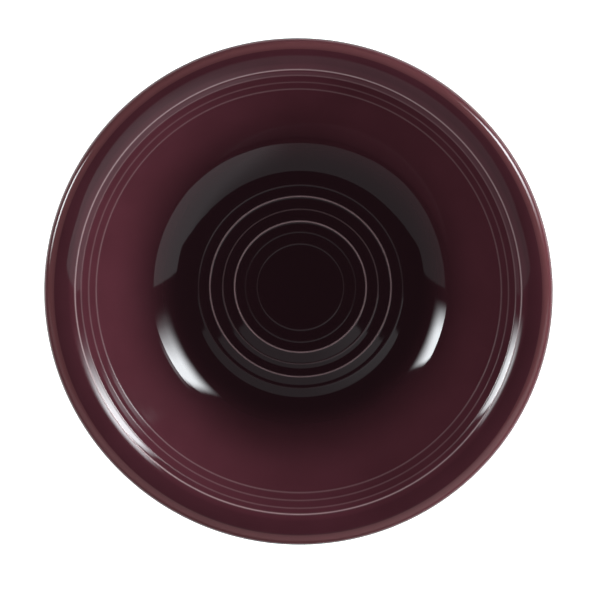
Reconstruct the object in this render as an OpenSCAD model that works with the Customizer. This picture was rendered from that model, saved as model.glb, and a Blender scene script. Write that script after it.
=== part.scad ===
// Shallow ringed bowl of glazed vitrified stoneware, turned about a vertical axis.
// It is three solids that meet face to face: the fired clay body with its foot ring, the coat
// of glaze that runs from the floor over the lip and down the outside, and the disc of glaze
// inside the foot ring. The ring it stands on is wiped bare before firing.
// Origin: centre of the foot ring's contact face, +Z up.

/* [Overall] */
// Diameter over the glazed lip
rim_d = 165; // [120:1:240]
// Thickness of the floor in the middle, without glaze
floor_t = 5; // [3:0.1:8]
// Thickness of the wall, without glaze
wall_t = 4.6; // [3:0.1:7]
// Thickness of the glaze
glaze_t = 0.3; // [0.2:0.05:0.6]

/* [Inside] */
// Diameter at which the curve of the well, carried on, would lie level
floor_d = 71.8; // [68:0.2:72]
// Diameter of the crease where the curve of the well meets the straight flare
crease_d = 98.2; // [80:0.2:120]
// Slope of the well where it reaches the crease, in degrees
well_slope = 28; // [15:1:36]
// Slope of the flare, in degrees
flare_slope = 40; // [28:0.5:50]

/* [Floor rings] */
// Diameter of the innermost fine ring
fine_ring_1 = 28.4; // [20:0.2:32]
// Diameter of the second fine ring
fine_ring_2 = 36.2; // [33:0.2:39]
// Diameter of the first terrace's crest
crest_ring_1 = 43.2; // [42:0.2:46]
// Diameter of the fine ring on the first terrace
fine_ring_3 = 51; // [48:0.2:53]
// Diameter of the second terrace's crest
crest_ring_2 = 59.5; // [57:0.1:62]
// Diameter of the third terrace's crest
crest_ring_3 = 67.1; // [64:0.1:68]
// Slope of the first two terraces, falling outwards, in degrees
terrace_slope = 4.5; // [0:0.5:8]
// Slope of the third, in degrees
last_terrace_slope = 6; // [0:0.5:8]
// Height of the fine rings
fine_h = 0.04; // [0.01:0.01:0.2]

/* [Lip] */
// Width of the smooth lip, from the last ring to the edge
lip_w = 10.2; // [7:0.1:14]
// Distance between the first three of the four rings inside the lip
rim_pitch = 2.3; // [1.5:0.05:3]
// Distance between the last two of them
last_gap = 1.9; // [1.5:0.05:3]
// Slope of the two inner flutes between the rings, in degrees
flute_slope = 39.5; // [20:0.5:45]
// Slope of the outer flute, in degrees
last_slope = 24; // [10:0.5:45]
// Depth of the two inner flutes below the line from ring to ring
flute_sag = 0.04; // [0:0.01:0.2]
// Depth of the outer flute below the line from ring to ring
last_sag = 0.01; // [0:0.01:0.2]
// Height of the bead along each ring
bead_h = 0.03; // [0:0.01:0.2]
// Slope of the lip where it starts, in degrees
lip_slope = 24.5; // [8:0.5:40]
// Radius of the lip's broad arch
lip_arch_r = 15.5; // [10:0.5:24]
// Height of the lip's outer edge, from its highest point to its underside
lip_h = 6.6; // [4.5:0.1:10]

/* [Foot] */
// Diameter of the middle of the contact face
foot_d = 74; // [50:0.5:100]
// Width of the contact face
foot_w = 2.6; // [1.5:0.1:5]
// Depth of the recess inside the foot ring
recess_h = 3; // [1.5:0.1:6]
// Height of the bare clay above the contact face
bare_h = 0.9; // [0.4:0.1:1.4]

/* [Hidden] */
$fn = 128;
clay = "#d9d0c0";
plum = "#4a1f29";

// ---- helpers ----------------------------------------------------------------------------

function arc(c, r, a0, a1, n) =
    [for (i = [0:n]) let (a = a0 + (a1 - a0) * i / n) c + r * [cos(a), sin(a)]];

function unit(v) = v / norm(v);
function left(v) = [-v[1], v[0]];
function reversed(p) = [for (i = [len(p) - 1:-1:0]) p[i]];
function last(p) = p[len(p) - 1];
function sum(v, i = 0) = i >= len(v) ? 0 : v[i] + sum(v, i + 1);

// Where the line through p along u meets the line through q along v.
function meet(p, u, q, v) =
    p + u * ((q - p) * left(v)) / (u * left(v));

// The way out of the clay at point i of a path that has the clay on its right, long enough
// to move both neighbouring lines by 1.
function out(p, i) =
    let (a = i > 0 ? unit(p[i] - p[i - 1]) : unit(p[1] - p[0]))
    let (b = i < len(p) - 1 ? unit(p[i + 1] - p[i]) : a)
    let (m = unit(left(a) + left(b)))
    p[i][0] < 0.001 ? [0, sign(m[1])] : m / max(0.8, m * left(b));

// The outer side of a skin of thickness t on a path. Over its first `head` and its last `tail`
// steps it comes down to nothing in a quarter round.
function skin(p, t, head, tail) =
    [for (i = [0:len(p) - 1])
        let (a = head > 0 ? min(1, i / head) : 1)
        let (b = tail > 0 ? min(1, (len(p) - 1 - i) / tail) : 1)
        p[i] + t * sqrt(1 - pow(1 - min(a, b), 2)) * out(p, i)];

// ---- rings ------------------------------------------------------------------------------

// A ring is [radius, height, width of its inner side, width of its outer side].
// Both sides are hollow, and they meet in its crest.
function ring_share(q, r) =
    let (t = 1 - abs(r - q[0]) / (r < q[0] ? q[2] : q[3]))
    t > 0 ? q[1] * t * t : 0;

function relief(rings, r) = sum([for (q = rings) ring_share(q, r)]);

bead_w = 0.4;
crests = [crest_ring_1, crest_ring_2, crest_ring_3] / 2;
fines = [fine_ring_1, fine_ring_2, fine_ring_3] / 2;
floor_rings = concat(
    [for (r = fines) [r, fine_h, bead_w, bead_w]],
    [for (r = crests) [r, bead_h, bead_w, bead_w]]
);

// A terrace is [radius of its crest, rise up to it, width of the rise, width of the fall, slope]
terraces = [
    [crests[0], 0.1, 1.3, 5.4, terrace_slope],
    [crests[1], 0.1, 0.7, 2.7, terrace_slope],
    [crests[2], 0.05, 0.4, 2.9, last_terrace_slope],
];
// What one terrace adds to the floor's height at radius r
function terrace_share(q, r) =
    r < q[0] ? q[1] * max(0, 1 - (q[0] - r) / q[2])
    : q[1] - min(r - q[0], q[3]) * tan(q[4]);

// Radii at which the floor is drawn: round each bead, and at the foot of each rise and fall
function bead_stops(r) = [for (d = [-0.4, -0.2, 0, 0.2, 0.4]) r + d];
floor_stops = concat(
    [0, fines[0] / 2], bead_stops(fines[0]), bead_stops(fines[1]),
    [crests[0] - 1.3, crests[0] - 0.7], bead_stops(crests[0]), bead_stops(fines[2]),
    [crests[0] + 5.4, crests[1] - 0.7], bead_stops(crests[1]),
    [crests[1] + 2.7], bead_stops(crests[2]), [crests[2] + 2.9]
);

// ---- inside of the clay -----------------------------------------------------------------

recess_z = recess_h + glaze_t;
floor_z = recess_z + floor_t;
floor_r = floor_d / 2;
crease_r = crease_d / 2;
edge_r = rim_d / 2 - glaze_t;

function floor_h(r) = floor_z + sum([for (q = terraces) terrace_share(q, r)]) + relief(floor_rings, r);
floor_path = [for (r = floor_stops) [r, floor_h(r)]];

// The well's curve starts just outside the foot of the last terrace.
well_r = (crease_r - floor_r) / sin(well_slope);
well_start = crests[2] + 2.95;
well_turn = asin((well_start - floor_r) / well_r);
well_c = [floor_r, floor_h(well_start) + well_r * cos(well_turn)];
well_path = arc(well_c, well_r, well_turn - 90, well_slope - 90, 8);
crease = last(well_path);

// Ring crests up the rim: the first ends the flare, and a flute rises to each of the others.
last_r = rim_d / 2 - lip_w;
ring_r = [for (d = [2 * rim_pitch + last_gap, rim_pitch + last_gap, last_gap, 0]) last_r - d];
flute_tan = [tan(flute_slope), tan(flute_slope), tan(last_slope)];
function crest_z(i) = i == 0 ? crease[1] + (ring_r[0] - crease_r) * tan(flare_slope)
    : crest_z(i - 1) + (ring_r[i] - ring_r[i - 1]) * flute_tan[i - 1];
rim_rings = [for (r = ring_r) [r, bead_h, bead_w, bead_w]];
arch_c = [last_r, crest_z(3)] + lip_arch_r * [sin(lip_slope), -cos(lip_slope)];

// Height of flute i at radius r, as a shallow hollow between two crests
function flute_z(i, r) =
    let (t = (r - ring_r[i]) / (ring_r[i + 1] - ring_r[i]))
    let (sag = i == 2 ? last_sag : flute_sag)
    crest_z(i) + (r - ring_r[i]) * flute_tan[i] - 4 * sag * t * (1 - t);

// Height of the rim at radius r, without its beads: flare, flutes, then the lip's arch
function rim_z(r) =
    r <= ring_r[0] ? crest_z(0) - (ring_r[0] - r) * tan(flare_slope)
    : r >= last_r ? arch_c[1] + sqrt(pow(lip_arch_r, 2) - pow(r - arch_c[0], 2))
    : r >= ring_r[2] ? flute_z(2, r)
    : r >= ring_r[1] ? flute_z(1, r)
    : flute_z(0, r);

rim_stops = [for (i = [0:3]) each concat(bead_stops(ring_r[i]), ring_r[i] + (i < 2 ? 1.15 : 0.95))];
rim_path = [for (r = rim_stops) [r, rim_z(r) + relief(rim_rings, r)]];

// ---- lip --------------------------------------------------------------------------------

// The broad arch falls a little past its highest point, then turns over the outer edge into
// a nearly upright side and a rounded underside.
fall = 6.3;
arch_start = acos((last(rim_path)[0] + 0.5 - arch_c[0]) / lip_arch_r);
edge_turn_r = (edge_r - arch_c[0] - lip_arch_r * sin(fall)) / (1 - sin(fall));
edge_c = arch_c + (lip_arch_r - edge_turn_r) * [sin(fall), cos(fall)];
under_r = 2;
under_tilt = 6;
side_lean = 7;
lip_under_z = arch_c[1] + lip_arch_r - lip_h + 2 * glaze_t;
side_c = [edge_r - under_r - 0.15, lip_under_z + under_r];
lip_path = concat(
    arc(arch_c, lip_arch_r, arch_start, 90 - fall, 9),
    arc(edge_c, edge_turn_r, 80 - fall, 0, 8),
    arc(side_c, under_r, -side_lean, under_tilt - 90, 7)
);

// ---- outside ----------------------------------------------------------------------------

// The outer wall is the flare moved out by the wall's thickness. A hollow joins it to the
// lip's underside, and the belly turns it in towards the foot.
flare = [cos(flare_slope), sin(flare_slope)];
under = [cos(under_tilt), sin(under_tilt)];
wall_p = crease - wall_t * left(flare);
neck_r = 3.5;
neck_c = meet(last(lip_path) - neck_r * left(under), under, wall_p - neck_r * left(flare), flare);
neck_path = arc(neck_c, neck_r, 90 + under_tilt, 90 + flare_slope, 6);

belly_r = well_r + wall_t;
belly_c = meet(wall_p + belly_r * left(flare), flare, [0, recess_z + belly_r], [1, 0]);
foot_out = foot_d / 2 + foot_w / 2;
foot_in = foot_d / 2 - foot_w / 2;
belly_stop = asin((foot_out + 2.5 - belly_c[0]) / belly_r);
belly_path = arc(belly_c, belly_r, flare_slope - 90, belly_stop - 90, 8);

// Both sides of the foot ring lean by this much. Its outer side meets the belly in a hollow.
foot_lean = 8;
foot_side = [sin(foot_lean), cos(foot_lean)];
belly_dir = [cos(belly_stop), sin(belly_stop)];
hollow_r = 1.4;
hollow_c = meet([foot_out, 0] - hollow_r * left(foot_side), foot_side,
    last(belly_path) - hollow_r * left(belly_dir), belly_dir);
// Heights at which the edge of a glaze skin is drawn
edge_steps = [0.5, 0.22, 0.06, 0];
foot_path = concat(
    arc(hollow_c, hollow_r, 90 + belly_stop, 180 - foot_lean, 5),
    [for (d = edge_steps) [foot_out + (bare_h + d) * tan(foot_lean), bare_h + d]]
);

coat_path = concat(floor_path, well_path, rim_path, lip_path, neck_path, belly_path, foot_path);

// Contact face, with both its corners eased
ease_r = 0.35;
bare_path = concat(
    arc([foot_out - ease_r, ease_r], ease_r, 0, -90, 3),
    arc([foot_in + ease_r, ease_r], ease_r, -90, -180, 3)
);

// Recess: up the inner side of the foot ring, round a hollow corner, and in to the axis
corner_r = 1.2;
corner_c = [foot_in - (recess_z - corner_r) * tan(foot_lean) - corner_r / cos(foot_lean),
    recess_z - corner_r];
recess_path = concat(
    reversed([for (d = edge_steps) [foot_in - (bare_h + d) * tan(foot_lean), bare_h + d]]),
    arc(corner_c, corner_r, foot_lean, 90, 5),
    [[foot_in / 2, recess_z + 0.15], [0, recess_z + 0.2]]
);

// ---- parts ------------------------------------------------------------------------------

// Which part to draw

// Fired clay, turned in one piece with its foot ring
module stoneware_body() {
    color(clay)
    rotate_extrude()
    polygon(concat(coat_path, bare_path, recess_path));
}

// Glaze over the inside, the lip and the outside, ending in a rounded edge above the foot
module glaze_coat() {
    color(plum)
    rotate_extrude()
    polygon(concat(skin(coat_path, glaze_t, 0, 3), reversed(coat_path)));
}

// Glaze over the recess inside the foot ring
module base_glaze() {
    color(plum)
    rotate_extrude()
    polygon(concat(skin(recess_path, glaze_t, 3, 0), reversed(recess_path)));
}

stoneware_body();
glaze_coat();
base_glaze();
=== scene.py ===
# Shallow ringed bowl of glazed stoneware, turned about +Z. The row frame is in metres, with its
# origin at the middle of the foot ring's contact face.
import math

import bpy
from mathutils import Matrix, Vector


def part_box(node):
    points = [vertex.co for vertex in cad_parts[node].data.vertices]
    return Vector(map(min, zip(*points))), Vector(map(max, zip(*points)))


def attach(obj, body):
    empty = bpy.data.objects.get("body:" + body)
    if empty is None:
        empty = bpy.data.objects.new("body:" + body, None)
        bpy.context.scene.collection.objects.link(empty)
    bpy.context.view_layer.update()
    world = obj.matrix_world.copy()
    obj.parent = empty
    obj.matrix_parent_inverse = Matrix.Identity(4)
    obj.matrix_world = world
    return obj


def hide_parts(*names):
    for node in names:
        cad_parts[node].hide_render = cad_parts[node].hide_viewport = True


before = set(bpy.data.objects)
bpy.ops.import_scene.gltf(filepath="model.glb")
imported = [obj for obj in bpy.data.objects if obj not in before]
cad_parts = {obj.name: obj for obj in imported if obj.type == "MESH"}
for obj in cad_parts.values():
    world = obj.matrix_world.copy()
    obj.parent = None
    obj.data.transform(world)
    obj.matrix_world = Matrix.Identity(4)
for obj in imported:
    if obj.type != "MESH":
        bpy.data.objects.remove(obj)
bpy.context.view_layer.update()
bpy.ops.object.select_all(action="DESELECT")

# ---- camera -----------------------------------------------------------------------------
# A long lens almost straight above the bowl. It leans a little to the back and the right,
# so the front of the well shows more than the back.

lip_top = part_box("glaze_coat")[1][2]
# How far it leans off the zenith, the compass angle it leans to, and its distance
lean = math.radians(6)
lean_to = math.radians(69)
reach = 1.5
# Width of the view at the height of the lip
view_w = 0.194
# A little right of the bowl's axis and in front of it, so that the bowl sits high in the frame
look_at = (0.00055, -0.0021, lip_top)
bpy.ops.object.camera_add(location=(
    look_at[0] + reach * math.sin(lean) * math.cos(lean_to),
    look_at[1] + reach * math.sin(lean) * math.sin(lean_to),
    look_at[2] + reach * math.cos(lean),
))
camera = bpy.context.object
camera.name = "camera"
# Turned so that the back of the bowl, +Y, is up in the frame
camera.rotation_euler = (-lean * math.sin(lean_to), lean * math.cos(lean_to), 0)
camera.data.sensor_width = 36
camera.data.lens = camera.data.sensor_width * reach / view_w
camera.data.clip_end = 20
bpy.context.scene.camera = camera
bpy.context.scene.view_settings.view_transform = "Standard"

# ---- studio -----------------------------------------------------------------------------
# A shooting table of opal acrylic. It is lit from below as well as from above, so that it
# stays white right up to the foot.


def linear(code):
    """A hex sRGB colour as linear RGBA."""
    parts = [int(code[i:i + 2], 16) / 255 for i in (1, 3, 5)]
    return [c / 12.92 if c <= 0.04045 else ((c + 0.055) / 1.055) ** 2.4 for c in parts] + [1]


def add(tree, kind, links=None, **settings):
    """A node with its settings and links. Settings that name an input set that input."""
    made = tree.nodes.new(kind)
    for key, value in settings.items():
        if hasattr(made, key):
            setattr(made, key, value)
        else:
            made.inputs[key.replace("_", " ")].default_value = value
    for key, source in (links or {}).items():
        tree.links.new(source, made.inputs[key])
    return made


def blank(name):
    """A material with its output node alone."""
    made = bpy.data.materials.new(name)
    made.use_nodes = True
    made.node_tree.nodes.clear()
    return made, made.node_tree, made.node_tree.nodes.new("ShaderNodeOutputMaterial")


# Opal acrylic: cast sheet with a fine matt face
acrylic, tree, out = blank("opal_acrylic")
shader = add(tree, "ShaderNodeBsdfPrincipled", Base_Color=linear("#f4f4f2"), Roughness=0.6,
             Emission_Color=linear("#ffffff"), Emission_Strength=0.95)
tree.links.new(shader.outputs["BSDF"], out.inputs["Surface"])

bpy.ops.mesh.primitive_plane_add(size=6, location=(0, 0, 0))
table = bpy.context.object
table.name = "table"
table.data.materials.append(acrylic)


def panel(name, place, turn, size, level, fades):
    """A flat light, `size` along its own X and Y, whose face is `level` bright. `fades` lists
    (axis, dark end, full end, darkest) as parts of its length, for a face lit from one side."""
    bpy.ops.object.light_add(type="AREA", location=place, rotation=turn)
    lamp = bpy.context.object
    lamp.name = name
    lamp.data.shape = "RECTANGLE"
    lamp.data.size, lamp.data.size_y = size
    lamp.data.energy = level * math.pi * size[0] * size[1]
    # A cool white
    lamp.data.color = (0.92, 0.97, 1)
    lamp.visible_camera = False
    lamp.data.use_nodes = True
    tree = lamp.data.node_tree
    face = add(tree, "ShaderNodeNewGeometry")
    across = add(tree, "ShaderNodeSeparateXYZ", {"Vector": face.outputs["Parametric"]})
    strength = None
    for axis, dark, full, darkest in fades:
        fade = add(tree, "ShaderNodeMapRange", {"Value": across.outputs[axis]},
                   interpolation_type="SMOOTHSTEP", From_Min=dark, From_Max=full,
                   To_Min=darkest, To_Max=1.0).outputs["Result"]
        if strength:
            both = add(tree, "ShaderNodeMath", {0: strength, 1: fade}, operation="MULTIPLY")
            fade = both.outputs[0]
        strength = fade
    if strength:
        tree.links.new(strength, tree.nodes["Emission"].inputs["Strength"])
    return lamp


# How far the softboxes stand from the bowl, and how high the scrim hangs above it
light_far = 1.3


def softbox(name, compass, down, size, level, fades):
    """A panel light_far away, `down` degrees off the zenith at compass angle `compass`, facing
    the bowl. Its X runs down from the zenith and its Y runs round with the compass."""
    a, d = math.radians(compass), math.radians(down)
    out = light_far * math.sin(d)
    place = (out * math.cos(a), out * math.sin(a), light_far * math.cos(d))
    return panel(name, place, (0, d, a), size, level, fades)


# Two softboxes, right and left, that fade out at both ends and towards the zenith. The right
# one shows in reflections only, and its front end fades twice over, for a slow start.
slow = ("Y", 0.05, 0.68, 0)
right = softbox("softbox_right", 20, 42, (0.9, 0.74), 22,
                [("X", 0, 0.38, 0), ("X", 1, 0.8, 0), slow, slow, ("Y", 1, 0.82, 0)])
right.visible_diffuse = False
softbox("softbox_left", 169, 43.5, (0.58, 0.46), 22,
        [("X", 0, 0.62, 0), ("Y", 1, 0.5, 0), ("Y", 0, 0.15, 0)])
# A faint strip below the right one, which the flutes pick up
strip = softbox("strip", 28, 66, (0.2, 0.6), 2.5, [("Y", 0, 0.5, 0), ("Y", 1, 0.5, 0)])
strip.visible_diffuse = False
# A key light from the right and a low side light that rakes across the wall facing it, both
# without a reflection of their own
for name, compass, down, size, level in (("key_light", 24, 50, (0.4, 0.4), 15),
                                         ("side_light", 5, 80, (0.3, 0.5), 46)):
    softbox(name, compass, down, size, level, []).visible_glossy = False
# A white scrim overhead, reaching forwards from just in front of the camera. It is in three
# panels, brighter towards the right, and the middle one starts a little farther forward.
panel("scrim_left", (-0.95, -0.88, light_far), (0, 0, 0), (1, 1.4), 0.31, [])
panel("scrim_middle", (-0.05, -0.94, light_far), (0, 0, 0), (0.8, 1.34), 0.75,
      [("X", 0.5, 1, 0.41)])
panel("scrim_right", (0.9, -0.88, light_far), (0, 0, 0), (1.1, 1.4), 0.75, [])

world = bpy.data.worlds.new("room")
bpy.context.scene.world = world
world.use_nodes = True
world.node_tree.nodes["Background"].inputs["Color"].default_value = (0.02, 0.02, 0.02, 1)

# ---- glaze coat -------------------------------------------------------------------------
# The coloured glass that covers the inside, the lip and the outside. The bowl is dipped and
# fired, and the melt levels out: it rounds every ring and lies thinner along the crests.

# Sizes are in mm from here on, and turned() makes them metres. These are the glaze's own
# thickness and, on the clay under it, the floor, the crease and the slopes that meet there.
glaze_t = 0.3
floor_z = 8.3
floor_r = 36.5
crease_r = 49.1
well_slope = math.radians(28)
flare_slope = 40
flare_rise = math.tan(math.radians(flare_slope))
# Terraces of the floor: crest, rise up to it, width of the rise, width of the fall, slope
terraces = [(21.6, 0.1, 1.3, 5.4, 4.5), (29.75, 0.1, 0.7, 2.7, 4.5), (33.55, 0.05, 0.4, 2.9, 6)]
# Beads along the rings: radius, height, and how thin the glaze lies on the crest
floor_rings = [(14.2, 0.04, 0.03), (18.1, 0.04, 0.02), (25.5, 0.04, 0.12),
               (21.6, 0.03, 0.6), (29.75, 0.03, 0.5), (33.55, 0.03, 0.03)]
rim_rings = [(65.8, 0.03, 0.28), (68.1, 0.03, 0.2), (70.4, 0.03, 0.2), (72.3, 0.03, 1)]
bead_w = 0.4
bead_tip = 0.1
# Flutes between the rim rings: slope from ring to ring, and depth of the hollow
flute_rise = [math.tan(math.radians(a)) for a in (39.5, 39.5, 24)]
flute_sag = (0.04, 0.04, 0.01)
# Broad arch of the lip: its radius, and its slope where it starts at the last ring
arch_r = 15.5
arch_start = math.radians(24.5)


def bead(rings, r):
    """Height of the beads at radius r: two hollow flanks that meet in a rounded crest."""
    total = 0
    for at, high, _ in rings:
        t = 1 - (math.hypot(r - at, bead_tip) - bead_tip) / bead_w
        total += high * t * t if t > 0 else 0
    return total


def terraced(r):
    """Height of the terraced floor at radius r. Each terrace falls outwards from its crest."""
    z = floor_z
    for at, rise, up, down, slope in terraces:
        fall = min(r - at, down) * math.tan(math.radians(slope))
        z += rise * max(0, 1 - (at - r) / up) if r < at else rise - fall
    return z


# The well is an arc about (well_x, well_z), from the foot of the last terrace to the crease.
well_x = 35.9
well_r = (crease_r - well_x) / math.sin(well_slope)
well_z = terraced(floor_r) + math.sqrt(well_r ** 2 - (floor_r - well_x) ** 2)
crease_z = well_z - well_r * math.cos(well_slope)
crest_z = [crease_z + (rim_rings[0][0] - crease_r) * flare_rise]
for near, far, rise in zip(rim_rings, rim_rings[1:], flute_rise):
    crest_z.append(crest_z[-1] + (far[0] - near[0]) * rise)
arch_x = rim_rings[3][0] + arch_r * math.sin(arch_start)
arch_z = crest_z[3] - arch_r * math.cos(arch_start)


def rim(r):
    """Height of the rim at radius r without its beads: flare, three flutes, then the lip."""
    if r <= rim_rings[0][0]:
        return crest_z[0] - (rim_rings[0][0] - r) * flare_rise
    if r >= rim_rings[3][0]:
        return arch_z + math.sqrt(arch_r ** 2 - (r - arch_x) ** 2)
    i = 2 if r >= rim_rings[2][0] else 1 if r >= rim_rings[1][0] else 0
    run = r - rim_rings[i][0]
    t = run / (rim_rings[i + 1][0] - rim_rings[i][0])
    return crest_z[i] + run * flute_rise[i] - 4 * flute_sag[i] * t * (1 - t)


def eased(shape, r, reach):
    """A shape's height at r with its corners rounded over `reach` on either side."""
    return (shape(r - reach) + 2 * shape(r) + shape(r + reach)) / 4


def well(r):
    """Height of the well and the start of the flare at radius r."""
    if r > crease_r:
        return crease_z + (r - crease_r) * flare_rise
    return well_z - math.sqrt(well_r ** 2 - (r - well_x) ** 2)


# How far the melt rounds the corners of the terraces, the crease and the flutes
terrace_ease = 0.15
crease_ease = 0.7
flute_ease = 0.1
# Radius on the flare at which the curve of the well hands over to the curve of the rim
mid_flare = 58


def inside(r):
    """Height of the clay's upper face at radius r, out to the top of the lip."""
    if r < floor_r:
        return eased(terraced, max(r, terrace_ease), terrace_ease) + bead(floor_rings, r)
    if r <= floor_r + 2:
        return well(r)
    if r < mid_flare:
        return eased(well, r, crease_ease)
    return eased(rim, r, flute_ease) + bead(rim_rings, r)


def spread(low, high, step):
    """Even steps from low up to, and not counting, high."""
    count = max(1, round((high - low) / step))
    return [low + (high - low) * i / count for i in range(count)]


def stations(crests, low, high, step):
    """Radii from low to high, close together at each crest and `step` apart elsewhere."""
    near = (-0.6, -0.42, -0.3, -0.2, -0.13, -0.06, 0, 0.06, 0.13, 0.2, 0.3, 0.42, 0.6)
    found = []
    at = low
    for c in sorted(crests):
        found += spread(at, c + near[0], step) if c + near[0] > at + 0.05 else []
        found += [c + d for d in near[:-1]]
        at = c + near[-1]
    return found + spread(at, high, step)


def arc(cx, cz, r, a0, a1, n):
    """n + 1 points round part of a circle, angles in degrees."""
    angles = [math.radians(a0 + (a1 - a0) * i / n) for i in range(n + 1)]
    return [(cx + r * math.cos(a), cz + r * math.sin(a)) for a in angles]


# Radii at which the inside is drawn, close together at the rings, the feet of the terraces and
# the crease, and on to just short of the top of the lip
lip_in = 73.6
lip_out = 77.8
turns = [q[0] for q in floor_rings] + [t[0] + t[3] for t in terraces[:2]]
radii = stations(turns, 0, floor_r, 0.8)
radii += spread(floor_r, crease_r - 1.4, 0.6)
radii += spread(crease_r - 1.4, crease_r + 1.6, 0.2)
radii += stations([q[0] for q in rim_rings], crease_r + 3, lip_in, 0.4)
radii += spread(lip_in, lip_out, 0.5)
upper = [(r, inside(r)) for r in radii]

# Over the top of the lip, where the arch falls by `fall` degrees before it turns over the edge,
# and round the underside, which tilts by `under_tilt`
edge_r = 82.2
lip_h = 6.6
fall = 6.3
under_r = 2
under_tilt = 6
side_in = 0.15
side_lean = 7
inward = math.sin(math.radians(fall))
turn_r = (edge_r - arch_x - arch_r * inward) / (1 - inward)
turn_x = arch_x + (arch_r - turn_r) * inward
turn_z = arch_z + (arch_r - turn_r) * math.cos(math.radians(fall))
lip_under = arch_z + arch_r - lip_h + 2 * glaze_t
lip = arc(arch_x, arch_z, arch_r, 92, 90 - fall, 10)
lip += arc(turn_x, turn_z, turn_r, 80, 0, 18)
lip += arc(edge_r - side_in - under_r, lip_under + under_r, under_r,
           -side_lean, under_tilt - 90, 12)


def meet(p, u, q, v):
    """Where the line through p along u meets the line through q along v."""
    t = ((q[0] - p[0]) * -v[1] + (q[1] - p[1]) * v[0]) / (u[0] * -v[1] + u[1] * v[0])
    return p[0] + u[0] * t, p[1] + u[1] * t


# Down the outside: a hollow neck under the lip, the straight wall, the belly, and a hollow
# where it meets the foot ring, whose sides lean by foot_lean
wall_t = 4.6
neck_r = 3.5
recess_z = 3.3
foot_out = 38.3
foot_in = 35.7
foot_lean = 8
hollow_r = 1.4
# How far outside the foot ring the belly's arc stops
belly_gap = 2.5
# Heights at which the end of a glaze skin is drawn, closer together towards the bare clay
glaze_ends = (1.4, 1.2, 1.08, 1.0, 0.94, 0.91, 0.9)
flare = (math.cos(math.radians(flare_slope)), math.sin(math.radians(flare_slope)))
wall = (crease_r + wall_t * flare[1], crease_z - wall_t * flare[0])
tilt = (math.cos(math.radians(under_tilt)), math.sin(math.radians(under_tilt)))
neck = meet((lip[-1][0] + neck_r * tilt[1], lip[-1][1] - neck_r * tilt[0]), tilt,
            (wall[0] + neck_r * flare[1], wall[1] - neck_r * flare[0]), flare)
belly_r = well_r + wall_t
belly = meet((wall[0] - belly_r * flare[1], wall[1] + belly_r * flare[0]), flare,
             (0, recess_z + belly_r), (1, 0))
stop = math.asin((foot_out + belly_gap - belly[0]) / belly_r)
heading = (math.cos(stop), math.sin(stop))
last_belly = (belly[0] + belly_r * heading[1], belly[1] - belly_r * heading[0])
side = (math.sin(math.radians(foot_lean)), math.cos(math.radians(foot_lean)))
hollow = meet((foot_out + hollow_r * side[1], -hollow_r * side[0]), side,
              (last_belly[0] + hollow_r * heading[1], last_belly[1] - hollow_r * heading[0]),
              heading)
outer = arc(*neck, neck_r, 90 + under_tilt, 90 + flare_slope, 8)
outer += arc(*belly, belly_r, flare_slope - 90, math.degrees(stop) - 90, 16)
outer += arc(*hollow, hollow_r, 90 + math.degrees(stop), 180 - foot_lean, 7)
outer += [(foot_out + z * side[0] / side[1], z) for z in glaze_ends]
clay_skin = upper + lip + outer


def lifted(path, head, tail):
    """The glaze's own face, glaze_t off a path of clay. It is rounded down to the clay over
    the first `head` and the last `tail` points."""
    face = []
    for i, (x, z) in enumerate(path):
        a, b = path[max(0, i - 1)], path[min(len(path) - 1, i + 1)]
        run = math.hypot(b[0] - a[0], b[1] - a[1])
        near = min(i / head if head else 1, (len(path) - 1 - i) / tail if tail else 1, 1)
        thick = glaze_t * math.sqrt(1 - (1 - near) ** 2)
        up = ((a[1] - b[1]) / run, (b[0] - a[0]) / run)
        if x < 0.001:
            up = (0, math.copysign(1, b[0] - a[0]))
        face.append((x + thick * up[0], z + thick * up[1]))
    return face


def turned(name, outline):
    """A piece turned about Z. A loop of as many points as the outline has is laid along it,
    in mm, cut open at the axis and swept round in 240 steps."""
    bpy.ops.mesh.primitive_circle_add(vertices=len(outline), radius=0.1)
    piece = bpy.context.object
    piece.name = name
    piece.data.name = name
    for v, (x, z) in zip(piece.data.vertices, outline):
        v.co = (x / 1000, 0, z / 1000)
    bpy.ops.object.mode_set(mode="EDIT")
    bpy.ops.mesh.select_all(action="DESELECT")
    bpy.ops.object.mode_set(mode="OBJECT")
    for e in piece.data.edges:
        e.select = all(piece.data.vertices[i].co.x < 1e-6 for i in e.vertices)
    bpy.ops.object.mode_set(mode="EDIT")
    bpy.ops.mesh.select_mode(type="EDGE")
    bpy.ops.mesh.delete(type="EDGE")
    bpy.ops.mesh.select_all(action="SELECT")
    bpy.ops.mesh.spin(steps=240, angle=math.tau, center=(0, 0, 0), axis=(0, 0, 1))
    bpy.ops.mesh.select_all(action="SELECT")
    bpy.ops.mesh.remove_doubles(threshold=2e-6)
    bpy.ops.mesh.normals_make_consistent(inside=False)
    bpy.ops.object.mode_set(mode="OBJECT")
    bpy.ops.object.shade_smooth()
    return piece


# The glaze darkens inside darkest_r and clears by clear_r, where it pools and where painted
# shade of the well is added, and is a little darker along the lip than on the flare. It runs
# thin within line_w of a ring, and round edge_at, in degrees up from level, over the edge.
darkest_r = 39
clear_r = 61
lip_darkening = 0.36
line_w = 0.2
edge_at = 84


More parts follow.
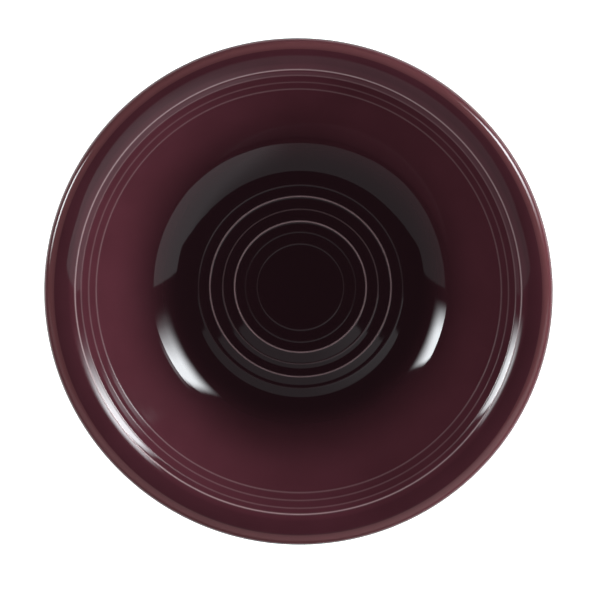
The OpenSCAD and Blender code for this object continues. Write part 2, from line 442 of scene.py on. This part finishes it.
def glaze_at(r, z):
    """How the glaze lies at radius r and height z, as four values from 0 to 1: on a ring's
    crest, run off a crest, run off the outer edge, and darker from pooling and painted shade."""
    crest = thin = edge = pool_and_shade = 0
    if r < 79 and z > inside(min(r, lip_out)) - 0.1:
        # On the inside and the lip, which darkens over 1.5 mm from the last ring
        for at, _, bare in floor_rings + rim_rings:
            line = math.exp(-((r - at) / line_w) ** 2)
            crest = max(crest, line)
            thin = max(thin, bare * line)
        # Darker towards the middle of the well: pooled glaze, with painted shade of the well
        # added in
        well_pool_and_shade = min(1, (clear_r - r) / (clear_r - darkest_r))
        pool_and_shade = max(0, well_pool_and_shade, lip_darkening * min(1, (r - 73) / 1.5))
    elif z > turn_z - 2:
        # Over the edge, where the lip's darkening clears within 3 mm
        over = math.degrees(math.atan2(z - turn_z, r - turn_x))
        edge = 0.31 * math.exp(-((over - edge_at) / 40) ** 2)
        pool_and_shade = lip_darkening * max(0, min(1, (82 - r) / 3))
    return crest, thin, edge, pool_and_shade * pool_and_shade * (3 - 2 * pool_and_shade)


def measured(piece):
    """Writes how the glaze lies at each point of a piece into four attributes."""
    places = [(round(math.hypot(v.co.x, v.co.y) * 1000, 3), round(v.co.z * 1000, 3))
              for v in piece.data.vertices]
    known = {place: glaze_at(*place) for place in places}
    for i, name in enumerate(("crest", "thin", "edge", "pool_and_shade")):
        values = piece.data.attributes.new(name, "FLOAT", "POINT").data
        values.foreach_set("value", [known[place][i] for place in places])


# Glaze: a glossy coloured glass over a pale body, smooth from the melt. Iron and manganese
# give it a deep plum, a pale mauve line where it runs thin on a ring, and a redder brown
# where it breaks over the outer edge. It turns nearly black in the well, where it pools and where
# painted shade is added.
glaze, tree, out = blank("plum_glaze")
place = add(tree, "ShaderNodeTexCoord").outputs["Object"]
thin = add(tree, "ShaderNodeAttribute", attribute_name="thin").outputs["Fac"]
crest = add(tree, "ShaderNodeAttribute", attribute_name="crest").outputs["Fac"]
edge = add(tree, "ShaderNodeAttribute", attribute_name="edge").outputs["Fac"]
pool_and_shade = add(tree, "ShaderNodeAttribute", attribute_name="pool_and_shade").outputs["Fac"]
drift = add(tree, "ShaderNodeTexNoise", {"Vector": place}, Scale=45, Detail=3)
tone = add(tree, "ShaderNodeValToRGB", {"Fac": drift.outputs["Fac"]})
tone.color_ramp.elements[0].position = 0.3
tone.color_ramp.elements[0].color = linear("#48232a")
tone.color_ramp.elements[1].position = 0.7
tone.color_ramp.elements[1].color = linear("#4f272f")
# Painted shade: this near-black is mixed in where the glaze pools in the well and along the lip,
# and it also darkens the well the way its own shade would
pool_shade_mix = add(tree, "ShaderNodeMix", {0: pool_and_shade, 6: tone.outputs["Color"]}, data_type="RGBA")
pool_shade_mix.inputs[7].default_value = linear("#1e0e12")
brown = add(tree, "ShaderNodeMix", {0: edge, 6: pool_shade_mix.outputs[2]}, data_type="RGBA")
brown.inputs[7].default_value = linear("#8f5b5a")
breaks = add(tree, "ShaderNodeMix", {0: thin, 6: brown.outputs[2]}, data_type="RGBA")
breaks.inputs[7].default_value = linear("#9c8082")
# Orange peel left by the melt, about 4 mm from swell to swell and a few micrometres high
peel = add(tree, "ShaderNodeTexNoise", {"Vector": place}, Scale=250, Detail=1)
bump = add(tree, "ShaderNodeBump", {"Height": peel.outputs["Fac"]}, Distance=0.000006, Strength=1)
# Smooth from the fire, and less so along a ring's crest
rough = add(tree, "ShaderNodeMapRange", {"Value": crest}, To_Min=0.04, To_Max=0.22)
shader = add(tree, "ShaderNodeBsdfPrincipled",
             {"Base Color": breaks.outputs[2], "Normal": bump.outputs["Normal"],
              "Roughness": rough.outputs["Result"]}, IOR=1.5)
tree.links.new(shader.outputs["BSDF"], out.inputs["Surface"])

# The face that lies on the clay can't be seen, so it has every sixth point alone
coat = turned("glaze_skin", lifted(clay_skin, 0, 3) + clay_skin[-2:0:-6] + clay_skin[:1])
measured(coat)
coat.data.materials.append(glaze)
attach(coat, "root")
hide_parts("glaze_coat")

# ---- base glaze -------------------------------------------------------------------------
# The same glaze inside the foot ring, cut off from the rest where the ring is wiped bare.

# Up the inner side of the foot ring, round a hollow corner, and in over a slight dome
corner_r = 1.2
corner_z = recess_z - corner_r
rise = side[0] / side[1]
corner_x = foot_in - corner_z * rise - corner_r / side[1]
recess = [(foot_in - z * rise, z) for z in reversed(glaze_ends)]
recess += arc(corner_x, corner_z, corner_r, foot_lean, 90, 8)
dome = ((corner_x - 3, 0.03), (24, 0.12), (foot_in / 2, 0.15), (8, 0.19), (0, 0.2))
recess += [(x, recess_z + high) for x, high in dome]
base = turned("glaze_base", lifted(recess, 3, 0) + recess[:0:-1])
base.data.materials.append(glaze)
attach(base, "root")
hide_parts("base_glaze")

# ---- clay body --------------------------------------------------------------------------
# Vitrified stoneware, pressed and turned in one piece with its foot ring. It shows only on
# the ring, which is sponged clean so that the bowl doesn't stick to the kiln shelf.

clay, tree, out = blank("vitrified_stoneware")
place = add(tree, "ShaderNodeTexCoord").outputs["Object"]
grain = add(tree, "ShaderNodeTexNoise", {"Vector": place}, Scale=2500, Detail=4)
tone = add(tree, "ShaderNodeValToRGB", {"Fac": grain.outputs["Fac"]})
tone.color_ramp.elements[0].position = 0.35
tone.color_ramp.elements[0].color = linear("#cfc4b2")
tone.color_ramp.elements[1].position = 0.6
tone.color_ramp.elements[1].color = linear("#e0d8c9")
bump = add(tree, "ShaderNodeBump", {"Height": grain.outputs["Fac"]}, Distance=0.00004, Strength=1)
shader = add(tree, "ShaderNodeBsdfPrincipled",
             {"Base Color": tone.outputs["Color"], "Normal": bump.outputs["Normal"]},
             Roughness=0.75, IOR=1.5)
tree.links.new(shader.outputs["BSDF"], out.inputs["Surface"])

# Contact face, with both its corners eased
ease_r = 0.35
contact = arc(foot_out - ease_r, ease_r, ease_r, 0, -90, 6)
contact += arc(foot_in + ease_r, ease_r, ease_r, -90, -180, 6)
body = turned("clay_body", clay_skin + contact + recess)
body.data.materials.append(clay)
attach(body, "root")
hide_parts("stoneware_body")
